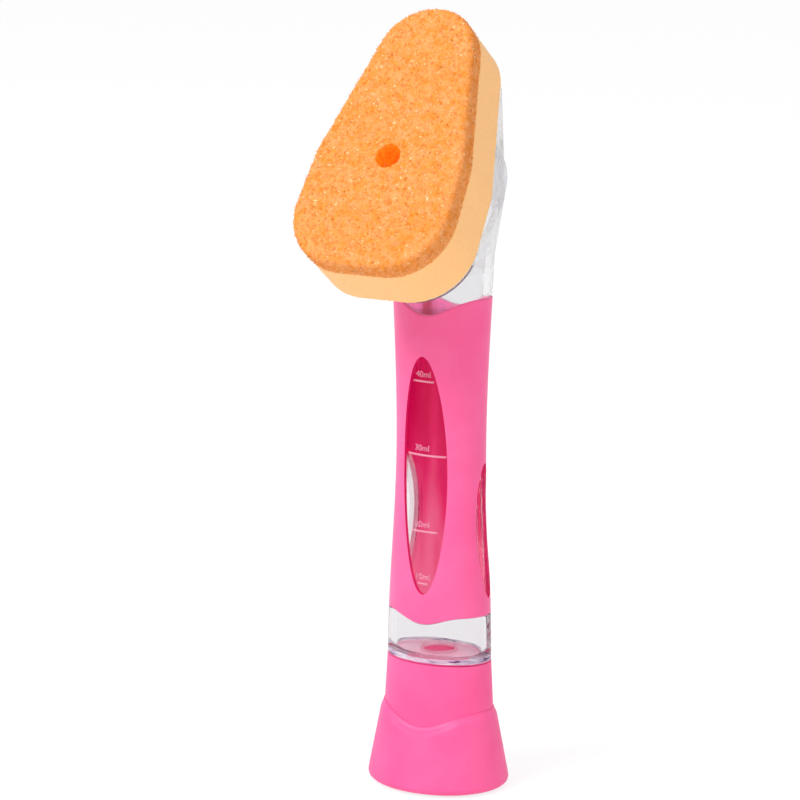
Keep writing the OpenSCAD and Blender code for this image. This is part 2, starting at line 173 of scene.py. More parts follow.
def applyModifier(piece, kind, **settings):
    step = piece.modifiers.new(kind.lower(), kind)
    for key, value in settings.items():
        setattr(step, key, value)
    view = bpy.context.evaluated_depsgraph_get()
    baked = bpy.data.meshes.new_from_object(piece.evaluated_get(view))
    piece.modifiers.clear()
    piece.data = baked
    softShade(piece)


def cutAway(piece, cutters):
    for cutter in cutters:
        applyModifier(piece, "BOOLEAN", operation="DIFFERENCE", solver="EXACT", object=cutter)
        bpy.data.objects.remove(cutter)


def paint(piece, *skinNames):
    piece.data.materials.clear()
    for name in skinNames:
        piece.data.materials.append(skins[name])


def dress(piece, body, slotName, *skinNames):
    paint(piece, *skinNames)
    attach(piece, body)
    return piece


# Material helpers
def srgb(r, g, b):
    return tuple((c / 255 / 12.92) if c <= 10 else ((c / 255 + 0.055) / 1.055) ** 2.4 for c in (r, g, b))


def darker(color, share):
    return tuple(c * share for c in color)


def wire(tree, node, values):
    # each socket gets a link or a fixed value, and other names are the node's settings
    for key, value in values.items():
        if isinstance(value, bpy.types.NodeSocket):
            tree.links.new(value, node.inputs[key])
        elif isinstance(key, int) or key in node.inputs:
            node.inputs[key].default_value = value
        else:
            setattr(node, key, value)
    return node


def addNode(tree, kind, *sources, **values):
    return wire(tree, tree.nodes.new(kind), {**values, **dict(enumerate(sources))})


def newMaterial(name, color, roughness, values=None):
    material = bpy.data.materials.new(name)
    material.use_nodes = True
    material.diffuse_color = (*color, 1)
    tree = material.node_tree
    shader = wire(tree, tree.nodes["Principled BSDF"],
                  {"Base Color": (*color, 1), "Roughness": roughness, **(values or {})})
    return material, tree, shader


def grain(tree, scale, detail=3.0, rough=0.55, stretch=None):
    source = addNode(tree, "ShaderNodeTexCoord").outputs["Object"]
    if stretch:
        source = addNode(tree, "ShaderNodeMapping", source, Scale=stretch).outputs[0]
    return addNode(tree, "ShaderNodeTexNoise", Vector=source, Scale=scale, Detail=detail,
                   Roughness=rough).outputs["Fac"]


def cells(tree, scale, warp):
    # a web of pores, pushed about by noise
    source = addNode(tree, "ShaderNodeTexCoord").outputs["Object"]
    cloud = addNode(tree, "ShaderNodeTexNoise", Vector=source, Scale=scale * 0.9, Detail=2.0)
    shift = addNode(tree, "ShaderNodeVectorMath", cloud.outputs["Color"], (warp, warp, warp), source,
                    operation="MULTIPLY_ADD")
    return addNode(tree, "ShaderNodeTexVoronoi", shift.outputs[0], Scale=scale).outputs["Distance"]


def ramp(tree, source, stops):
    node = addNode(tree, "ShaderNodeValToRGB", source)
    line = node.color_ramp
    while len(line.elements) < len(stops):
        line.elements.new(0.5)
    for element, (place, color) in zip(line.elements, stops):
        element.position = place
        element.color = (*color, 1)
    return node.outputs["Color"]


def bump(tree, source, strength, distance, under=None):
    node = addNode(tree, "ShaderNodeBump", Height=source, Strength=strength, Distance=distance)
    if under:
        wire(tree, node, {"Normal": under})
    return node.outputs["Normal"]


def level(tree, source, low, high, ends="To"):
    return addNode(tree, "ShaderNodeMapRange", source,
                   **{ends + " Min": low, ends + " Max": high}).outputs["Result"]


def band(tree, source, low, high):
    return level(tree, source, low, high, "From")


def blendColor(tree, share, *colors):
    node = addNode(tree, "ShaderNodeMix", share, data_type="RGBA")
    ends = [k for k, socket in enumerate(node.inputs) if socket.type == "RGBA"]
    wire(tree, node, {k: (*color, 1) if isinstance(color, tuple) else color
                      for k, color in zip(ends, colors)})
    return [o for o in node.outputs if o.type == "RGBA"][0]


# Clear moulded plastic. Thin walls show faceOn of themselves from the front and glancing at the
# edge, mirror dims their reflections, and milky and a painted glow make them a pale grey
clearLook = {
    "clearBand": {"color": (0.78, 0.76, 0.785), "ior": 1.26, "mirror": 0.12},
    "clearBandInner": {"color": (0.99, 0.985, 0.99), "ior": 1.26, "mirror": 0.12},
    "clearPlastic": {"color": (0.78, 0.74, 0.78), "ior": 1.09, "faceOn": 0.34, "glancing": 0.6},
    "clearLens": {"color": (0.94, 0.88, 0.92), "ior": 1.06, "faceOn": 0.16, "glancing": 0.3},
    # the head's and neck's glow is painted light, emission that lifts their shade
    "clearHead": {"color": (0.58, 0.585, 0.61), "ior": 1.07, "faceOn": 0.3, "glancing": 0.75,
                  "milky": 0.4, "glow": 0.12, "ripple": 0.01},
    "clearNeck": {"color": (0.52, 0.52, 0.55), "ior": 1.08, "faceOn": 0.22, "glancing": 0.6,
                  "milky": 0.15, "glow": 0.06, "ripple": 0.01},
    "clearPlates": {"color": (0.86, 0.86, 0.87), "ior": 1.06, "faceOn": 0.12, "glancing": 0.35},
}


def clearPlastic(name):
    look = clearLook[name]
    color, mirror = look["color"], look.get("mirror", 0.6)
    material, tree, shader = newMaterial(name, color, 0.03, {
        "Transmission Weight": 1 - look.get("milky", 0.0), "IOR": look["ior"],
        "Specular Tint": (mirror, mirror, mirror, 1), "Emission Color": (*color, 1),
        "Emission Strength": look.get("glow", 0.0)})
    if "faceOn" in look:
        facing = addNode(tree, "ShaderNodeLayerWeight", Blend=0.5)
        edge = band(tree, facing.outputs["Facing"], 0.45, 1.0)
        wire(tree, shader, {"Alpha": level(tree, edge, look["faceOn"], look["glancing"])})
    flow = grain(tree, 60, 2)
    wire(tree, shader, {
        "Roughness": level(tree, flow, 0.0, 0.05),
        "Base Color": ramp(tree, flow, [(0.3, darker(color, 0.985)), (0.7, color)]),
        "Normal": bump(tree, grain(tree, 35, 1), look.get("ripple", 0.04), 0.0004)})
    return material


# The thick lower rim of the tank, with dark and bright streaks in its moulded edge that are painted
# reflections and painted highlights
rimLook = {
    "color": srgb(232, 222, 238), "clear": 0.35, "ior": 1.3, "alpha": 0.88, "paintedStreak": 130, "flatten": 4.5,
    "tones": [(0.37, srgb(70, 44, 88)), (0.43, srgb(170, 144, 184)), (0.5, srgb(216, 198, 222)),
              (0.6, srgb(232, 222, 238)), (0.66, srgb(255, 252, 255))],
}


def rimPlastic(name, look):
    material, tree, shader = newMaterial(name, look["color"], 0.12, {
        "Transmission Weight": look["clear"], "IOR": look["ior"], "Alpha": look["alpha"]})
    paintedStreaks = grain(tree, look["paintedStreak"], 2.5, 0.6, (1, 1, look["flatten"]))
    # the dark tones are painted reflections, the white tone a painted highlight
    wire(tree, shader, {"Base Color": ramp(tree, paintedStreaks, look["tones"]),
                        "Normal": bump(tree, paintedStreaks, 0.25, 0.0004)})
    return material


# The grip's inside seen through the tank, all painted light: a painted glow, painted shade that is
# deep red above and paler below, painted reflections as upright streaks, and a painted highlight of light
# pink at the top edge
insidePaintedLight = {
    "middle": srgb(220, 28, 100), "cut": srgb(204, 8, 92), "glow": 0.6, "paintedStreak": 190, "stretch": 0.09,
    "lowZ": 0.05, "highZ": 0.2, "sway": -0.85,
    "tones": [(0.18, srgb(232, 110, 146)), (0.42, srgb(220, 28, 100)), (0.6, srgb(204, 0, 80)),
              (0.7, srgb(204, 0, 80)), (0.79, srgb(255, 124, 186))],
}


def insidePaintedLightSkin(name, look):
    material, tree, shader = newMaterial(name, look["middle"], 0.5)
    place = addNode(tree, "ShaderNodeTexCoord")
    split = addNode(tree, "ShaderNodeSeparateXYZ", place.outputs["Object"])
    # painted shade and light by height, crossed by painted reflection streaks
    height = band(tree, split.outputs["Z"], look["lowZ"], look["highZ"])
    paintedStreaks = grain(tree, look["paintedStreak"], 3, 0.5, (1, 1, look["stretch"]))
    paintedShadeAndStreaks = addNode(tree, "ShaderNodeMath", paintedStreaks, look["sway"], height, operation="MULTIPLY_ADD")
    paintedShadeLevel = addNode(tree, "ShaderNodeMath", paintedShadeAndStreaks.outputs[0], look["sway"] / -2, operation="ADD")
    color = ramp(tree, paintedShadeLevel.outputs[0], look["tones"])
    # the emission is a painted glow
    wire(tree, shader, {"Base Color": color, "Emission Color": color, "Emission Strength": look["glow"],
                        "Normal": bump(tree, grain(tree, 1500, 2), 0.1, 0.00005)})
    return material


# Soft pink grip and the pink base
pinkLook = {
    "softPinkGrip": {"color": srgb(254, 103, 163), "shade": srgb(252, 91, 153), "roughness": 0.42,
                     "fineness": 1500},
    "pinkPlastic": {"color": srgb(254, 97, 160), "shade": srgb(252, 85, 150), "roughness": 0.48,
                    "fineness": 2200},
}


def pinkSkin(name):
    look = pinkLook[name]
    rough = look["roughness"]
    material, tree, shader = newMaterial(name, look["color"], rough, {"Specular IOR Level": 0.4})
    wire(tree, shader, {
        "Base Color": ramp(tree, grain(tree, 45, 4), [(0.35, look["shade"]), (0.65, look["color"])]),
        "Roughness": level(tree, grain(tree, 220), rough - 0.05, rough + 0.08),
        "Normal": bump(tree, grain(tree, look["fineness"]), 0.12, 0.00006)})
    return material


# Plainer finishes: two tones of a colour, some with a painted glow that lifts their shade, and fine
# bumps given as scale, detail, strength and distance
def shadedLook(color, scale, roughness, **more):
    return {"color": color, "tones": [(0.3, darker(color, 0.9)), (0.7, color)], "scale": scale,
            "roughness": roughness, **more}


def sealLook(color, roughness, glow=0.0):
    return shadedLook(color, 400, roughness, glow=glow, bumps=(400, 3, 0.15, 0.00005))


plainLook = {
    # the tank's floor, painted pink with a painted glow for the light that the pink base throws up through
    # it
    "clearFloor": {"color": srgb(236, 196, 212), "scale": 120, "roughness": 0.25, "alpha": 0.7, "glow": 0.3,
                   "tones": [(0.3, srgb(226, 178, 200)), (0.7, srgb(236, 196, 212))],
                   "bumps": (120, 3, 0.1, 0.0002)},
    # the rim's lowest edge, which takes the colour of the base's dark seam
    "clearSeam": {"color": srgb(214, 30, 112), "scale": 160, "roughness": 0.3,
                  "tones": [(0.35, srgb(214, 30, 112)), (0.7, srgb(232, 70, 146))]},
    # the head's weld, a thin dark line whose purple is a painted reflection of the colours round it
    "weldSeam": {"color": srgb(150, 104, 134), "scale": 90, "roughness": 0.3, "alpha": 0.6,
                 "tones": [(0.35, srgb(120, 66, 104)), (0.65, srgb(150, 104, 134))]},
    # relief of the numbers and lines on the tank
    "frostedMarks": shadedLook(srgb(252, 176, 202), 900, 0.5, alpha=0.55),
    # the windows' cut edges, in a dark colour that is painted shade, with a painted glow
    "gripCutEdgePaintedShade": {"color": insidePaintedLight["cut"], "scale": 200, "roughness": 0.5, "glow": 0.2,
                    "tones": [(0.35, insidePaintedLight["cut"]), (0.7, insidePaintedLight["middle"])],
                    "bumps": (1500, 2, 0.1, 0.00005)},
    "padRubber": sealLook(srgb(236, 78, 146), 0.6),
    "whitePlastic": sealLook(srgb(240, 240, 243), 0.32),
    # the housing's and the seals' glow is painted light
    "whiteHousingPaintedGlow": sealLook(srgb(240, 240, 243), 0.32, 0.3),
    "sealRubber": sealLook(srgb(222, 224, 228), 0.55, 0.15),
    # the soap hole's wall, with a painted glow that lights the hole
    "soapHole": {"color": srgb(255, 146, 26), "scale": 500, "roughness": 0.7, "glow": 0.4,
                 "tones": [(0.35, srgb(255, 116, 4)), (0.65, srgb(255, 146, 26))],
                 "bumps": (900, 3, 0.4, 0.0003)},
}


def plainSkin(name):
    look = plainLook[name]
    material, tree, shader = newMaterial(name, look["color"], look["roughness"],
                                         {"Alpha": look.get("alpha", 1.0)})
    color = ramp(tree, grain(tree, look["scale"]), look["tones"])
    wire(tree, shader, {"Base Color": color})
    if look.get("glow"):
        wire(tree, shader, {"Emission Color": color, "Emission Strength": look["glow"]})
    if "bumps" in look:
        scale, detail, strength, distance = look["bumps"]
        wire(tree, shader, {"Normal": bump(tree, grain(tree, scale, detail), strength, distance)})
    return material


def steelSkin(name, color):
    material, tree, shader = newMaterial(name, color, 0.28, {"Metallic": 1.0})
    drawn = grain(tree, 900, 2)
    wire(tree, shader, {"Roughness": level(tree, drawn, 0.2, 0.36),
                        "Base Color": ramp(tree, drawn, [(0.3, darker(color, 0.85)), (0.7, color)])})
    return material


# Peach foam with fine closed pores and a painted glow, stronger on its back behind the clear plates, where
# it lies in shade
foamLook = {"color": srgb(250, 194, 130), "pore": srgb(246, 183, 115), "poreSize": 1500, "glow": 0.12,
            "backGlow": 0.5}


def foamSkin(name, look, glow):
    material, tree, shader = newMaterial(name, look["color"], 0.8, {
        "Specular IOR Level": 0.15, "Sheen Weight": 0.15, "Emission Strength": glow})
    pores = cells(tree, look["poreSize"], 0.0004)
    color = ramp(tree, pores, [(0.05, look["pore"]), (0.5, look["color"])])
    rough = bump(tree, pores, 0.5, 0.00022)
    wire(tree, shader, {"Base Color": color, "Emission Color": color,
                        "Normal": bump(tree, grain(tree, 160, 4), 0.3, 0.0003, rough)})
    return material


# Orange open scourer: soft matted fibres with a few sunk pits darkened by painted shade, and painted
# highlights as pale glints
scourLook = {"color": srgb(244, 147, 54), "rosy": srgb(249, 164, 96), "pitShade": srgb(234, 138, 34),
             "glint": srgb(255, 226, 176)}


def scourSkin(name, look):
    material, tree, shader = newMaterial(name, look["color"], 0.65, {"Specular IOR Level": 0.25})
    matted = grain(tree, 330, 4, 0.65)
    body = ramp(tree, matted, [(0.38, look["color"]), (0.62, look["rosy"])])
    # painted shade in the pits and painted highlights for the glints
    shadedPits = band(tree, grain(tree, 520, 3, 0.6), 0.57, 0.68)
    glints = band(tree, grain(tree, 980, 2, 0.6), 0.63, 0.72)
    pitShaded = blendColor(tree, shadedPits, body, look["pitShade"])
    fibres = bump(tree, grain(tree, 900, 4, 0.7), 0.7, 0.0005)
    deep = bump(tree, shadedPits, 0.35, -0.0003, fibres)
    wire(tree, shader, {"Base Color": blendColor(tree, glints, pitShaded, look["glint"]),
                        "Normal": bump(tree, glints, 0.5, 0.0002, deep)})
    return material


skins = {name: clearPlastic(name) for name in clearLook}
skins |= {name: pinkSkin(name) for name in pinkLook}
skins |= {name: plainSkin(name) for name in plainLook}
skins["clearRim"] = rimPlastic("clearRim", rimLook)
skins["gripInsidePaintedLight"] = insidePaintedLightSkin("gripInsidePaintedLight", insidePaintedLight)
skins["stainlessSteel"] = steelSkin("stainlessSteel", srgb(196, 198, 202))
skins["peachFoam"] = foamSkin("peachFoam", foamLook, foamLook["glow"])
skins["peachFoamPaintedGlowBack"] = foamSkin("peachFoamPaintedGlowBack", foamLook, foamLook["backGlow"])
skins["orangeScourer"] = scourSkin("orangeScourer", scourLook)
print("materials made")

# The sponge, drawn on the head's plate: across, up along the plate, and out of it
spongeForm = {
    "tilt": 35.7, "originY": -18.05, "originZ": 212.6,
    "circles": [(0, 39.7, 18.3), (16.8, -0.9, 11.45), (8.45, -20, 20.7)],
    "around": 640, "foamThick": 18.5, "scourThick": 7.7, "holeRadius": 4.5, "holeUp": 0.4,
    "holeEdge": 0.35,     # how far the soap hole's colour reaches past its wall
}


def plateToHandle(across, up, out):
    lean = math.radians(spongeForm["tilt"])
    return Vector((across,
                   spongeForm["originY"] + up * math.sin(lean) - out * math.cos(lean),
                   spongeForm["originZ"] + up * math.cos(lean) + out * math.sin(lean)))


plateAhead = (plateToHandle(0, 0, 1) - plateToHandle(0, 0, 0)).normalized()


def hullOutline(circles, count, shrink=0.0):
    # the outline of a band stretched round the circles, in even steps
    dots = set()
    for x, y, r in circles:
        for side in ((-1, 1) if x else (1,)):
            for a in turns(240):
                dots.add((round(side * x + r * math.cos(a), 5), round(y + r * math.sin(a), 5)))

    def chain(source):
        line = []
        for p in source:
            while len(line) > 1 and ((line[-1][0] - line[-2][0]) * (p[1] - line[-2][1])
                                     - (line[-1][1] - line[-2][1]) * (p[0] - line[-2][0])) <= 1e-9:
                line.pop()
            line.append(p)
        return line[:-1]

    ring = chain(sorted(dots)) + chain(sorted(dots, reverse=True))
    lengths = [0.0]
    for a, b in zip(ring, ring[1:] + ring[:1]):
        lengths.append(lengths[-1] + math.hypot(b[0] - a[0], b[1] - a[1]))
    even = []
    k = 0
    for i in range(count):
        goal = lengths[-1] * i / count
        while lengths[k + 1] < goal:
            k += 1
        a, b = ring[k], ring[(k + 1) % len(ring)]
        part = (goal - lengths[k]) / (lengths[k + 1] - lengths[k])
        even.append(Vector((a[0] + (b[0] - a[0]) * part, a[1] + (b[1] - a[1]) * part, 0)))
    shifted = []
    for i in range(count):
        along = even[(i + 1) % count] - even[i - 1]
        along.normalize()
        shifted.append(even[i] - Vector((along.y, -along.x, 0)) * shrink)
    return shifted


def holeCircle(radius):
    return [(radius * math.cos(a), spongeForm["holeUp"] + radius * math.sin(a)) for a in turns(96)]


def rowReach(outline, y):
    # how far the outline reaches to each side at one height
    reach = 0.0
    for k in range(len(outline)):
        a, b = outline[k - 1], outline[k]
        if (a.y - y) * (b.y - y) < 0:
            reach = max(reach, a.x + (b.x - a.x) * (y - a.y) / (b.y - a.y))
    return reach


def flatNet(edge, hole, out, spacing):
    # a flat face in an even net of triangles, between an outline and the round soap hole
    pick = random.Random(5)
    count, fixed = len(edge), len(edge) + len(hole)
    spots = [Vector((p.x, p.y)) for p in edge + hole]
    ends = [(k, (k + 1) % count) for k in range(count)]
    ends += [(count + k, count + (k + 1) % len(hole)) for k in range(len(hole))]
    clear = spongeForm["holeRadius"] + spacing * 0.6
    y, row = min(p.y for p in edge) + spacing * 0.7, 0
    while y < max(p.y for p in edge) - spacing * 0.6:
        reach = rowReach(edge, y) - spacing * 0.7
        for k in range(-int(reach / spacing) - 1, int(reach / spacing) + 2):
            x = (k + 0.5 * (row % 2) + pick.uniform(-0.25, 0.25)) * spacing
            wobble = y + pick.uniform(-0.2, 0.2) * spacing
            if abs(x) < reach and math.hypot(x, wobble - spongeForm["holeUp"]) > clear:
                spots.append(Vector((x, wobble)))
        y += spacing * 0.87
        row += 1
    net = delaunay_2d_cdt(spots, ends, [], 1, 1e-6)
    faces = [list(f) for f in net[2] if min(f) < count or max(f) >= fixed]
    # sorted, so that the faces keep the same order each run
    faces = sorted(tuple(f[f.index(min(f)):] + f[:f.index(min(f))]) for f in faces)
    return [Vector((p.x, p.y, out)) for p in edge + hole + net[0][fixed:]], faces


noise.seed_set(7)   # noise vectors differ from run to run without a seed


def roughen(p, amount, size, seed):
    spot = p * size + Vector((seed, seed * 2, seed * 3))
    return (noise.noise_vector(spot) * 0.6 + noise.noise_vector(spot * 1.9) * 0.75) * amount


def spongeLayer(name, form):
    low, high, lowRound, highRound = (form[k] for k in ("low", "high", "lowRound", "highRound"))
    levels = [(low + rise, inset) for rise, inset in roundOff(lowRound, (90, 67, 45, 22, 0))]
    start, end = low + lowRound, high - highRound
    levels += [(start + (end - start) * r / form["rows"], 0.0) for r in range(1, form["rows"])]
    levels += [(high - rise, inset) for rise, inset in roundOff(highRound, range(0, 91, 18))]
    rings = []
    for out, inset in levels:
        ring = hullOutline(spongeForm["circles"], spongeForm["around"], inset)
        rings.append([Vector((p.x, p.y, out)) for p in ring])
    hole = [Vector((x, y, 0)) for x, y in holeCircle(spongeForm["holeRadius"])]
    wall = [[Vector((p.x, p.y, high + (low - high) * s / 10)) for p in hole] for s in range(11)]
    points, faces = skinRings(rings)
    for part in (skinRings(wall), flatNet(rings[-1], hole, high, form["frontNet"]),
                 flatNet(rings[0], hole, low, form["backNet"])):
        faces += [tuple(k + len(points) for k in f) for f in part[1]]
        points += part[0]
    shaken = [p + roughen(p, form["shake"], form["grainSize"], form["seed"]) for p in points]
    return meshObject(name, [plateToHandle(*p) for p in shaken], faces, 180)


def addFibres(pad, form):
    # short bent fibres standing out of the scourer's front and sides
    pick = random.Random(form["seed"])
    start = plateToHandle(0, 0, form["from"]).dot(plateAhead)
    free = [f for f in pad.data.polygons
            if (f.center / mm).dot(plateAhead) > start and f.material_index == 0]
    chosen = pick.choices(free, [f.area for f in free], k=form["count"])
    points = [v.co / mm for v in pad.data.vertices]
    faces = [tuple(f.vertices) for f in pad.data.polygons]
    thick = form["thick"]
    for f in chosen:
        side = Vector([pick.uniform(-1, 1) for _ in range(3)])
        stand = (f.normal * pick.uniform(0.25, 0.8) + side).normalized()
        if stand.dot(f.normal) < 0.12:
            stand = (stand - f.normal * (stand.dot(f.normal) - 0.3)).normalized()
        bend = stand.lerp(side, 0.35).normalized()
        long = pick.uniform(*form["long"])
        root = f.center / mm - f.normal * 0.25
        knee = root + stand * (long * 0.55 + 0.2)
        across = stand.orthogonal().normalized()
        other = stand.cross(across)
        first = len(points)
        for p, r in ((root, thick), (knee, thick * 0.8), (knee + bend * long * 0.45, thick * 0.45)):
            points += [p + across * r, p + (other * 0.87 - across * 0.5) * r,
                       p - (other * 0.87 + across * 0.5) * r]
        for low in (first, first + 3):
            faces += [(low + k, low + (k + 1) % 3, low + 3 + (k + 1) % 3, low + 3 + k) for k in range(3)]
        faces += [(first + 2, first + 1, first), (first + 6, first + 7, first + 8)]
    marked = [f.material_index for f in pad.data.polygons]
    mesh = bpy.data.meshes.new("fibred")
    mesh.from_pydata([p * mm for p in points], [], faces)
    for material in pad.data.materials:
        mesh.materials.append(material)
    for f, index in zip(mesh.polygons, marked):
        f.material_index = index
    mesh.shade_smooth()
    pad.data = mesh


foamTop = spongeForm["foamThick"]
layerForm = {
    "foam": {"low": 0.05, "high": foamTop - 0.02, "lowRound": 0.5, "highRound": 0.35, "rows": 22,
             "frontNet": 3.0, "backNet": 1.5, "shake": 0.12, "grainSize": 0.9, "seed": 3},
    "scourer": {"low": foamTop + 0.02, "high": foamTop + spongeForm["scourThick"], "lowRound": 0.35,
                "highRound": 2.3, "rows": 12, "frontNet": 0.42, "backNet": 2.5, "shake": 0.5,
                "grainSize": 1.05, "seed": 11},
    "fibres": {"count": 5200, "long": (0.5, 1.15), "thick": 0.1, "from": foamTop + 1.2, "seed": 21},
}
foamPiece = spongeLayer("foamSponge", layerForm["foam"])
dress(foamPiece, "sponge", "peach_foam", "peachFoam", "soapHole", "peachFoamPaintedGlowBack")
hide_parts("foam_block")
scourPiece = spongeLayer("scourPad", layerForm["scourer"])
dress(scourPiece, "sponge", "orange_scourer", "orangeScourer", "soapHole")
for sponge in (foamPiece, scourPiece):
    middle = plateToHandle(0, spongeForm["holeUp"], 0)
    for face in sponge.data.polygons:
        off = face.center / mm - middle
        off -= plateAhead * off.dot(plateAhead)
        facing = face.normal.dot(plateAhead)
        if off.length < spongeForm["holeRadius"] + spongeForm["holeEdge"] and abs(facing) < 0.7:
            face.material_index = 1   # the wall of the soap hole
        # the foam's back takes the stronger painted glow
        if sponge == foamPiece and facing < -0.8:
            face.material_index = 2   # the foam's back
addFibres(scourPiece, layerForm["fibres"])
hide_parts("scour_pad")
print("sponge made")

# Soft grip with its waved edges and windows
gripForm = {
    "windowZ": 112.0, "windowHalf": 8.7, "windowUp": 43.2, "windowDown": 41.2, "upBend": 2.1,
    "downBend": 1.8, "lean": -0.016, "leanFrom": 80.0,
    "sideZ": 93.0, "sideHalf": 5.6, "sideReach": 24.0, "sideBack": 1.3, "rows": 90, "edge": 0.35,
    "waveZ": 110, "waveStretch": 1.1, "cutFar": 30, "cutNear": 5, "cutLow": 66, "cutHigh": 160,
}


def lensOutline(half, up, down, z, steps=40):
    edge = []
    for way, reach, bend in ((1, up, gripForm["upBend"]), (-1, -down, gripForm["downBend"])):
        for side, run in ((way, range(steps)), (-way, range(steps, 0, -1))):
            for i in run:
                s = math.sin(math.pi / 2 * i / steps)
                edge.append((side * half * max(0, 1 - s ** bend) ** 0.5, z + reach * s))
    return edge


def gripSkin():
    form, thick = gripForm, handleForm["gripThick"]

    def ring(share, inset, rise=0.0):
        row = []
        for a in turns(handleForm["around"]):
            x = (halfWidth(form["waveZ"]) - inset) * math.cos(a) * form["waveStretch"]
            bottom, top = gripBottom(x), gripTop(x)
            row.append(ovalPoint(bottom + (top - bottom) * share + rise, inset, a))
        return row

    rings = [ring(0, inset, rise) for rise, inset in roundOff(form["edge"], (90, 60, 30, 0))]
    rings += [ring(r / form["rows"], 0) for r in range(1, form["rows"])]
    rings += [ring(1, inset, -rise) for rise, inset in roundOff(form["edge"], (0, 30, 60, 90))]
    rings += [ring(r / form["rows"], thick - 0.06) for r in range(form["rows"], -1, -3)]
    return meshObject("softGrip", *skinRings(rings, loop=True))


grip = gripSkin()
front = [(x + gripForm["lean"] * (z - gripForm["leanFrom"]), z) for x, z in lensOutline(
    gripForm["windowHalf"], gripForm["windowUp"], gripForm["windowDown"], gripForm["windowZ"])]
side = [(y + gripForm["sideBack"], z) for y, z in lensOutline(
    gripForm["sideHalf"], gripForm["sideReach"], gripForm["sideReach"], gripForm["sideZ"])]
far, near = gripForm["cutFar"], gripForm["cutNear"]
cutAway(grip, [skinned("cutter", [[Vector((x, y, z)) for x, z in front] for y in (-far, 0)])]
        + [skinned("cutter", [[Vector((x, y, z)) for y, z in side] for x in ends])
           for ends in ((near, far), (-far, -near))])
dress(grip, "handle", "soft_grip", "softPinkGrip", "gripInsidePaintedLight", "gripCutEdgePaintedShade")
# the inside and the windows' cut edges take painted shade and a painted glow
for face in grip.data.polygons:   # the inside, and the windows' cut edges
    middle = face.center / mm
    outward = Vector((middle.x, middle.y / handleForm["depthRatio"] ** 2, 0)).normalized()
    if insideOval(middle, handleForm["gripThick"] - 0.3):
        face.material_index = 1
    elif outward.dot(face.normal) < 0.9 and gripForm["cutLow"] < middle.z < gripForm["cutHigh"]:
        face.material_index = 2
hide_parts("grip_sleeve")
print("grip made")


# Clear lens of the tank that fills each side window
def sideLens(name, side, gap=0.12):
    form, sunk = gripForm, handleForm["gripThick"] - 0.02
    centre, reach = form["sideZ"], form["sideReach"] - gap * 2
    outline = lensOutline(form["sideHalf"] - gap, reach, reach, centre)
    rings = []
    for share, inset in ((0.02, sunk), (0.4, sunk), (0.8, sunk), (1, sunk), (1, 0.5), (0.96, 0.34),
                         (0.9, 0.3), (0.75, 0.3), (0.5, 0.3), (0.25, 0.3), (0.02, 0.3)):
        row = []
        for y, z in outline:
            z = centre + (z - centre) * share
            half = halfWidth(z) - inset
            across = form["sideBack"] + y * share
            row.append(Vector((side * half * math.sqrt(1 - (across / ovalDepth(half, inset)) ** 2),
                               across, z)))
        rings.append(row)
    dress(skinned(name, rings, 50), "handle", "clear_plastic", "clearLens")


sideLens("sideLensLeft", -1)
sideLens("sideLensRight", 1)

# Clear tank: oval tube with the waved step under the grip, a floor with a raised ring and
# a screwed filling neck
tankForm = {"topZ": 168.0, "floorZ": 47.8, "fillet": 1.6, "ringOuter": 6.6, "ringHigh": 1.0,
            "holeRadius": 5.8, "rimLow": 0.7, "rimHigh": 1.8, "seamHigh": 0.6, "waveZ": 62,
            "screwReach": 11, "innerWall": 2.0,
            "neckBottom": 33.0, "neckCore": 9.4, "neckEdge": 9.95, "pitch": 3.0, "threadTurns": 3.3}


def circlePoint(r, z, turn):
    return Vector((r * math.cos(turn), r * math.sin(turn), z))


def circleRing(r, z):
    return [circlePoint(r, z, a) for a in turns(handleForm["around"])]


def tankSkin():
    form, seam, angles = tankForm, handleForm["seamZ"], turns(handleForm["around"])
    grow, wall = handleForm["gripThick"], handleForm["gripThick"] + handleForm["tubeWall"]
    rings = [ovalRing(seam + rise, inset) for rise, inset in (
        (0.0, 0.5), (0.05, 0.25), (0.25, 0.05), (form["rimLow"], 0.0))]
    low, high = ovalRing(seam + form["rimLow"], 0), wavedRing(gripBottom, form["waveZ"], -0.5, 0)
    for share in (0.12, 0.3, 0.5, 0.7, 0.88):
        rings.append([ovalPoint(p.z + (q.z - p.z) * share, 0, a) for p, q, a in zip(low, high, angles)])
    for rise, inset in ((-0.5, 0.0), (-0.22, 0.04), (-0.06, 0.2), (-0.02, 0.45), (-0.02, 1.35),
                        (0.1, grow), (0.4, grow)):
        rings.append(wavedRing(gripBottom, form["waveZ"], rise, inset))
    top, floor, fillet = form["topZ"], form["floorZ"], form["fillet"]
    rings += [ovalRing(z, grow) for z in range(66, 168, 3)]
    rings += [ovalRing(z, inset) for z, inset in (
        (top - 0.4, grow), (top, grow + 0.35), (top, wall - 0.35), (top - 0.4, wall))]
    rings += [ovalRing(z, wall) for z in range(165, 51, -3)]
    rings += [ovalRing(floor + rise, wall + inset) for rise, inset in roundOff(fillet, (0, 22, 45, 67, 90))]
    for share in (0.35, 0.7):
        rings.append([p.lerp(circlePoint(form["ringOuter"] + 0.5, floor, a), share)
                      for p, a in zip(ovalRing(floor, wall + fillet), angles)])
    crest, hole = floor + form["ringHigh"], form["holeRadius"]
    rings += [circleRing(form["ringOuter"] + r, z) for r, z in (
        (0.5, floor), (0.12, floor + 0.12), (0.0, floor + 0.5), (0.0, crest - 0.2), (-0.15, crest))]
    core, foot = form["neckCore"], form["neckBottom"]
    rings += [circleRing(r, z) for r, z in (
        (hole + 0.15, crest), (hole, crest - 0.15), (hole, 46.0), (hole, 40.0), (hole, foot),
        (core - 0.3, foot), (core, foot + 0.3), (core, 38.0), (core, 44.8), (core + 0.5, seam))]
    return meshObject("clearTank", *skinRings(rings, loop=True), 40)


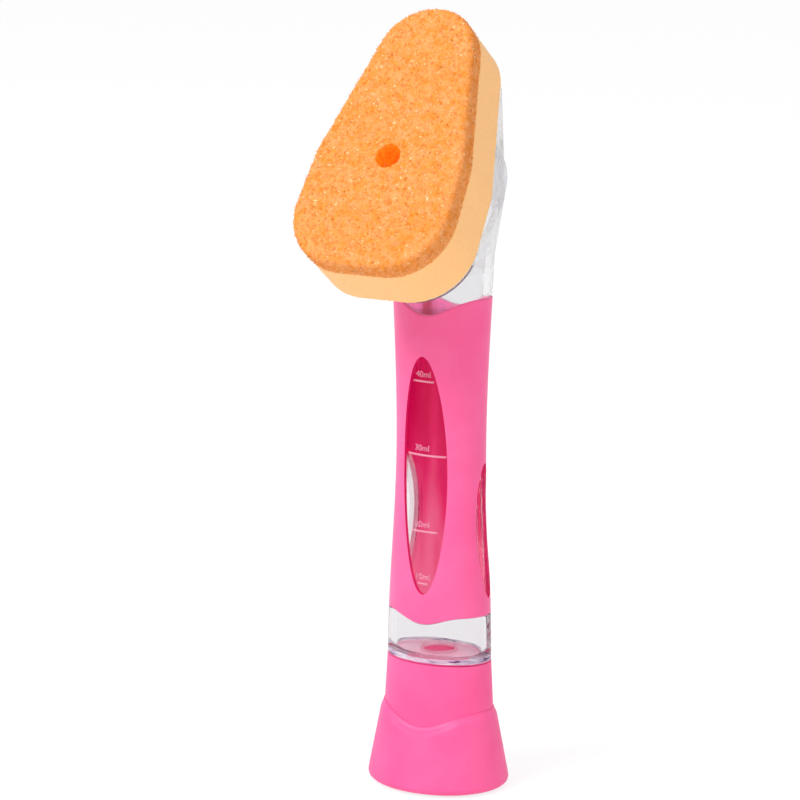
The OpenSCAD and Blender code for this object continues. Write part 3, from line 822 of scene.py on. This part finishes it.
def neckThread(steps=150):
    form = tankForm
    core, root = form["neckCore"], form["neckCore"] - 0.2
    rings = []
    for k in range(steps + 1):
        share = k / steps
        turn = 2 * math.pi * form["threadTurns"] * share
        z = form["neckBottom"] + 1.2 + form["pitch"] * form["threadTurns"] * share
        crest = core + (form["neckEdge"] - core) * min(1, share * 12, (1 - share) * 12)
        rings.append([circlePoint(r, z + step, turn)
                      for r, step in ((root, -0.75), (crest, -0.3), (crest, 0.2), (root, 0.75))])
    dress(skinned("neckThread", rings), "handle", "clear_plastic", "clearFloor")


# Bare tube, rim with painted reflection streaks, floor and screwed neck, tube under the grip, seam line and
# inner wall
tankSkins = ["clearBand", "clearRim", "clearFloor", "clearPlastic", "clearSeam", "clearBandInner"]


def tankLook(spot):
    form, seam = tankForm, handleForm["seamZ"]
    if spot.z < form["floorZ"] - 0.3 and math.hypot(spot.x, spot.y) < form["screwReach"]:
        return "clearFloor"
    if spot.z < seam + form["seamHigh"] and not insideOval(spot, 0.5):
        return "clearSeam"
    if spot.z < seam + form["rimHigh"]:
        return "clearRim"
    if spot.z < form["floorZ"] + 0.3:
        return "clearFloor"
    if spot.z > handleForm["gripBottomZ"] + 0.4:
        return "clearPlastic"
    return "clearBandInner" if insideOval(spot, form["innerWall"]) else "clearBand"


tank = tankSkin()
dress(tank, "handle", "clear_plastic", *tankSkins)
for face in tank.data.polygons:
    face.material_index = tankSkins.index(tankLook(face.center / mm))
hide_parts("tank")
neckThread()
print("tank made")

# Clear head: one smooth hollow skin from the neck to the plate, with the button's boss
headForm = {"circles": [(0, 39.2, 16.9), (16.8, 2.4, 13.1), (7.6, -19.2, 19.0)], "rimDepth": 4.6,
            "rootZ": 193.6, "bossRootZ": 190.6, "bossRing": 9.45, "bossEdge": 6.3, "bossY": 15.9,
            "buttonZ": 215.0, "wall": 2.1, "bossWall": 1.9, "neckWall": 3.2, "spigotZ": 159.5,
            "neckTopZ": 196.0, "neckLookZ": 184.0, "waveZ": 175, "voxel": 0.75, "soften": 8,
            "softenHollow": 4, "bores": [(10.65, 12, 30), (12.85, 20.4, 30)]}


def convexPiece(name, points):
    work = bmesh.new()
    for p in points:
        work.verts.new(p * mm)
    made = bmesh.ops.convex_hull(work, input=work.verts)
    spare = [g for g in made["geom_interior"] + made["geom_unused"] if isinstance(g, bmesh.types.BMVert)]
    bmesh.ops.delete(work, geom=list(set(spare)), context="VERTS")
    return addPiece(name, work)


def rootPoints(z, inset):
    # where the head and its boss grow out of the neck
    return [ovalPoint(z + step, inset, a) for a in turns(96) for step in (0, 0.4)]


def headWedge(inset, rise, ahead):
    # ahead is how far it runs on past the plate's rear face, where it is then cut off
    points = [plateToHandle(p.x, p.y, -headForm["rimDepth"] + step)
              for p in hullOutline(headForm["circles"], 160, inset) for step in (-0.4, ahead)]
    return convexPiece("wedge", points + rootPoints(headForm["rootZ"] + rise, inset))


def headBoss(inset, rise):
    edge, points = headForm["bossEdge"] - inset, []
    for a in turns(48):
        for b in turns(28):
            r = headForm["bossRing"] + edge * math.cos(b)
            points.append(Vector((r * math.cos(a), headForm["bossY"] + edge * math.sin(b),
                                  headForm["buttonZ"] + r * math.sin(a))))
    return convexPiece("boss", points + rootPoints(headForm["bossRootZ"] + rise, inset))


def neckOuter():
    spigot, joint = headForm["spigotZ"], tankForm["topZ"] + 0.03
    rings = [ovalRing(z, inset) for z, inset in (
        (spigot, 3.7), (spigot + 0.3, 3.45), (164.0, 3.45), (joint, 3.45), (joint, 1.7), (168.2, 1.62),
        (168.9, 1.6))]
    rings += [wavedRing(gripTop, headForm["waveZ"], rise, inset)
              for rise, inset in ((0.0, 1.6), (0.02, 0.3), (0.12, 0.08), (0.4, 0.0))]
    rings += [ovalRing(z, 0) for z in (178, 181, 184, 187, 190, 193, headForm["neckTopZ"])]
    return skinned("neck", rings)


def neckInner():
    wall = headForm["neckWall"]
    return skinned("neckHollow", [ovalRing(z, inset) for z, inset in (
        (headForm["spigotZ"] - 2, 5.0), (169.5, 5.0), (171.0, wall + 0.5), (172.0, wall), (184.0, wall),
        (headForm["neckTopZ"], wall))])


def melt(name, pieces, soften):
    # joins the pieces into one skin and smooths it
    work = bmesh.new()
    for piece in pieces:
        work.from_mesh(piece.data)
        bpy.data.objects.remove(piece)
    bmesh.ops.recalc_face_normals(work, faces=work.faces)
    whole = addPiece(name, work)
    applyModifier(whole, "REMESH", mode="VOXEL", voxel_size=headForm["voxel"] * mm)
    applyModifier(whole, "SMOOTH", factor=0.5, iterations=soften)
    return whole


def turnedCutter(radius, near, far):
    return skinned("cutter", [[Vector((radius * math.cos(a), y, headForm["buttonZ"] + radius * math.sin(a)))
                               for a in turns(120)] for y in (near, far)])


def plateBlock(outline, levels):
    return skinned("cutter", [[plateToHandle(*p[:2], out) for p in outline] for out in levels])


headShell = melt("clearHead", [neckOuter(), headWedge(0, 0, 2), headBoss(0, 0)], headForm["soften"])
hollow = melt("hollow", [neckInner(), headWedge(headForm["wall"], 1.5, 5),
                         headBoss(headForm["bossWall"], 2)], headForm["softenHollow"])
cutAway(headShell, [plateBlock(hullOutline(headForm["circles"], 200, -6), (-headForm["rimDepth"], 8)),
                    hollow, *(turnedCutter(*bore) for bore in headForm["bores"])])
dress(headShell, "handle", "clear_plastic", "clearHead", "clearNeck")
for face in headShell.data.polygons:
    if face.center.z / mm < headForm["neckLookZ"]:
        face.material_index = 1
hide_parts("head_shell")
print("clear head made", len(headShell.data.polygons))

# The welded seam between the head's shell and its front plate, along the lower edge
weldForm = {"fromY": -22, "grow": 0.06, "sunk": -0.3, "low": -4.76, "high": -4.46}


def weldSeam(form):
    _, centre, _ = headForm["circles"][-1]
    edge = [p for p in hullOutline(headForm["circles"], 240) if p.y < form["fromY"]]
    rings = []
    for p in sorted(edge, key=lambda p: math.atan2(p.y - centre, p.x)):
        out = Vector((p.x, p.y - centre, 0)).normalized()
        corners = []
        for grow, depth in ((form["grow"], form["low"]), (form["grow"], form["high"]),
                            (form["sunk"], form["high"]), (form["sunk"], form["low"])):
            spot = p + out * grow
            corners.append(plateToHandle(spot.x, spot.y, depth))
        rings.append(corners)
    dress(skinned("headSeam", rings), "handle", "clear_plastic", "weldSeam")


weldSeam(weldForm)

# Front plate of the head and the refill's backing plate, with rounded edges
plateForm = {"face": -1.85, "round": 0.5, "railU": 11.6, "railV": -24.0, "railHalf": 2.4, "railDepth": 1.4,
             "railLength": 62.0, "railRoom": 0.15, "outletRadius": 2.8, "sealRadius": 5.0,
             "sealDepth": 1.2, "shrink": 0.05, "fineRound": 0.1, "carrierFace": -1.8,
             "carrierShrink": 0.9, "carrierRound": 0.35}


def roundedPlate(name, circles, low, high, shrink, roundLow, roundHigh):
    levels = [(low, roundLow), (low + roundLow * 0.3, roundLow * 0.3), (low + roundLow, 0.0),
              (high - roundHigh, 0.0), (high - roundHigh * 0.3, roundHigh * 0.3), (high, roundHigh)]
    return skinned(name, [[plateToHandle(p.x, p.y, out) for p in hullOutline(circles, 220, shrink + depth)]
                          for out, depth in levels], 50)


def dovetailBar(name, side, grow, face, start, length):
    half, foot = plateForm["railHalf"] + grow, -plateForm["railDepth"] - grow
    section = [(-half + 0.3, 0.5), (half - 0.3, 0.5), (half + 1, foot), (-half - 1, foot)]
    return skinned(name, [[plateToHandle(side * plateForm["railU"] + u, v, face + n) for u, n in section]
                          for v in (start, start + length)])


face, railStart = plateForm["face"], plateForm["railV"]
headPlate = roundedPlate("clearPlate", headForm["circles"], -headForm["rimDepth"] + 0.02, face,
                         plateForm["shrink"], plateForm["fineRound"], plateForm["round"])
cutAway(headPlate, [dovetailBar("cutter", side, plateForm["railRoom"], face, railStart, 90)
                    for side in (-1, 1)]
        + [plateBlock(holeCircle(plateForm["outletRadius"]), (-10, 5)),
           plateBlock(holeCircle(plateForm["sealRadius"]), (face - plateForm["sealDepth"], 5))])
dress(headPlate, "handle", "clear_plastic", "clearPlates")
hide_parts("head_plate")
carrier = roundedPlate("refillPlate", spongeForm["circles"], plateForm["carrierFace"], 0.0,
                       plateForm["carrierShrink"], plateForm["carrierRound"], plateForm["fineRound"])
cutAway(carrier, [plateBlock(holeCircle(spongeForm["holeRadius"]), (-10, 5))])
dress(carrier, "sponge", "clear_plastic", "clearPlates")
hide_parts("sponge_carrier")
for side, name in ((-1, "railLeft"), (1, "railRight")):
    rail = dovetailBar(name, side, 0, plateForm["carrierFace"] - 0.02, railStart + 0.1,
                       plateForm["railLength"])
    dress(rail, "sponge", "clear_plastic", "clearPlates")
print("plates made")

# Finishes of the CAD nodes that stay
finishes = {
    "clearHead": ["valve_cup"],
    "pinkPlastic": ["cap_body", "base_skirt"],
    "padRubber": ["foot_pad"],
    "whiteHousingPaintedGlow": ["button_housing"],
    "whitePlastic": ["button_bezel", "push_button"],
    "stainlessSteel": ["valve_stem"],
    "sealRubber": ["neck_seal", "outlet_seal", "stem_seal", "valve_disc", "cap_gasket", "plug_seal"],
}
for finish, names in finishes.items():
    for name in names:
        paint(parts[name], finish)


def pressedSpring():
    spring = addObject("buttonSpring", parts["return_spring"].data.copy())
    dress(spring, "handle", "stainless", "stainlessSteel")
    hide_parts("return_spring")
    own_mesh(spring)


pressedSpring()

# Volume marks: a raised line and a number over each, on the front of the tank
markForm = {
    "marks": [   # label, height of the line, half its length, middle of the line and of the label
        ("10ml", 74.3, 2.0, -0.6, -0.6), ("20ml", 92.9, 5.0, -0.6, -1.3),
        ("30ml", 120.0, 7.6, -0.6, -1.9), ("40ml", 146.2, 4.2, -1.7, -1.4)],
    "size": 3.05, "raise": 0.2, "above": 1.6, "lineHeight": 0.72, "lineRaise": 0.42, "steps": 24,
}


def tankFront(x, z, proud=0.0):
    half = halfWidth(z) - handleForm["gripThick"] + proud
    return -half * handleForm["depthRatio"] * math.sqrt(1 - (x / half) ** 2)


def markLine(label, z, reach, middle):
    rings, steps = [], markForm["steps"]
    for k in range(steps + 1):
        x = middle + reach * (2 * k / steps - 1)
        proud = markForm["lineRaise"] * min(1, (1 - abs(x - middle) / reach) * 8 + 0.3)
        h = markForm["lineHeight"] / 2
        deep = tankFront(x, z) + 0.25
        near = tankFront(x, z, proud) + 0.35
        rings.append([Vector((x, deep, z - h)), Vector((x, near, z - h * 0.6)),
                      Vector((x, near, z + h * 0.6)), Vector((x, deep, z + h))])
    return skinned("line_" + label, rings)


def volumeNumber(label, z, middle):
    text = bpy.data.curves.new("mark" + label, "FONT")
    text.body = label
    text.size = markForm["size"]
    text.align_x = "CENTER"
    text.extrude = markForm["raise"] / 2
    holder = addObject("mark_" + label, text)
    bpy.context.view_layer.update()
    flat = bpy.data.meshes.new_from_object(holder.evaluated_get(bpy.context.evaluated_depsgraph_get()))
    bpy.data.objects.remove(holder)
    for corner in flat.vertices:   # wrapped onto the tank's curve
        x, y, raised = corner.co + Vector((middle, 0, 0))
        up = z + markForm["above"] + y
        corner.co = Vector((x, tankFront(x, up) - raised + 0.02, up)) * mm
    return addObject("mark_" + label, flat)


for label, z, reach, lineX, labelX in markForm["marks"]:
    for piece in (markLine(label, z, reach, lineX), volumeNumber(label, z, labelX)):
        dress(piece, "handle", "clear_plastic", "frostedMarks")
print("volume marks made")

# Floor, light and camera
studio = {"floorHalf": 3.0, "floorZ": -0.0002, "floorShade": 0.26, "floorGlow": 0.8, "worldFill": 0.66,
          "aim": (0, 0, 0.14), "lampSize": 0.9,
          "lamps": [("keyLamp", (-0.6, -1.15, 1.6), 25.0), ("sideLamp", (1.5, -0.6, 0.9), 3.0)]}


def showSeen(tree, unseen, seen, surface):
    # rays that show the backdrop, from the camera, in a reflection or through clear plastic, get
    # the seen shader
    rays = addNode(tree, "ShaderNodeLightPath").outputs
    source = rays["Is Camera Ray"]
    for kind in ("Is Glossy Ray", "Is Transmission Ray"):
        source = addNode(tree, "ShaderNodeMath", source, rays[kind], operation="MAXIMUM").outputs[0]
    pick = addNode(tree, "ShaderNodeMixShader", source, unseen.outputs[0], seen.outputs[0])
    tree.links.new(pick.outputs[0], surface)


def studioFloor():
    half, low, shade = studio["floorHalf"], studio["floorZ"], studio["floorShade"]
    mesh = bpy.data.meshes.new("floor")
    mesh.from_pydata([(x * half, y * half, low) for x, y in ((-1, -1), (1, -1), (1, 1), (-1, 1))], [],
                     [(0, 1, 2, 3)])
    material, tree, shader = newMaterial("paleFloor", (0.9, 0.9, 0.9), 0.9, {"Specular IOR Level": 0.0})
    pale = addNode(tree, "ShaderNodeBsdfDiffuse", (shade, shade, shade, 1))
    glow = addNode(tree, "ShaderNodeEmission", Strength=studio["floorGlow"])
    both = addNode(tree, "ShaderNodeAddShader", pale.outputs[0], glow.outputs[0])
    showSeen(tree, shader, both, tree.nodes["Material Output"].inputs["Surface"])
    mesh.materials.append(material)
    addObject("floor", mesh)


def studioWorld():
    world = bpy.data.worlds.new("studio")
    bpy.context.scene.world = world
    world.use_nodes = True
    tree = world.node_tree
    back = wire(tree, tree.nodes["Background"], {"Color": (1, 1, 1, 1), "Strength": studio["worldFill"]})
    seen = addNode(tree, "ShaderNodeBackground", (1, 1, 1, 1), Strength=1.0)
    showSeen(tree, back, seen, tree.nodes["World Output"].inputs["Surface"])


def softLamp(name, place, power):
    lamp = bpy.data.lights.new(name, "AREA")
    lamp.shape = "DISK"
    lamp.size = studio["lampSize"]
    lamp.energy = power
    piece = addObject(name, lamp)
    piece.location = place
    ahead = Vector(studio["aim"]) - Vector(place)
    piece.rotation_euler = ahead.to_track_quat("-Z", "Y").to_euler()


cameraPlace = {"reach": 1.1386, "height": 0.3802, "azimuth": 28.47, "yaw": 0.73, "pitch": 12.02,
               "roll": 0.38, "lens": 150.34, "sensor": 36.0}


def studioCamera(c):
    turn = math.radians(c["azimuth"])
    aim = math.radians(c["azimuth"] + c["yaw"])
    dip, roll = math.radians(c["pitch"]), math.radians(c["roll"])
    ahead = Vector((-math.sin(aim) * math.cos(dip), math.cos(aim) * math.cos(dip), -math.sin(dip)))
    right = Vector((math.cos(aim), math.sin(aim), 0))
    up = right.cross(ahead)
    across = right * math.cos(roll) + up * math.sin(roll)
    above = up * math.cos(roll) - right * math.sin(roll)
    camera = bpy.data.cameras.new("camera")
    camera.lens = c["lens"]
    camera.sensor_width = c["sensor"]
    camera.clip_start = 0.05
    camera.clip_end = 30
    piece = addObject("camera", camera)
    spot = Vector((c["reach"] * math.sin(turn), -c["reach"] * math.cos(turn), c["height"]))
    frameAxes = Matrix((across, above, -ahead)).transposed().to_4x4()
    piece.matrix_world = Matrix.Translation(spot) @ frameAxes
    bpy.context.scene.camera = piece


studioFloor()
studioWorld()
for lamp in studio["lamps"]:
    softLamp(*lamp)
studioCamera(cameraPlace)
bpy.context.scene.view_settings.view_transform = "Standard"
print("studio made")
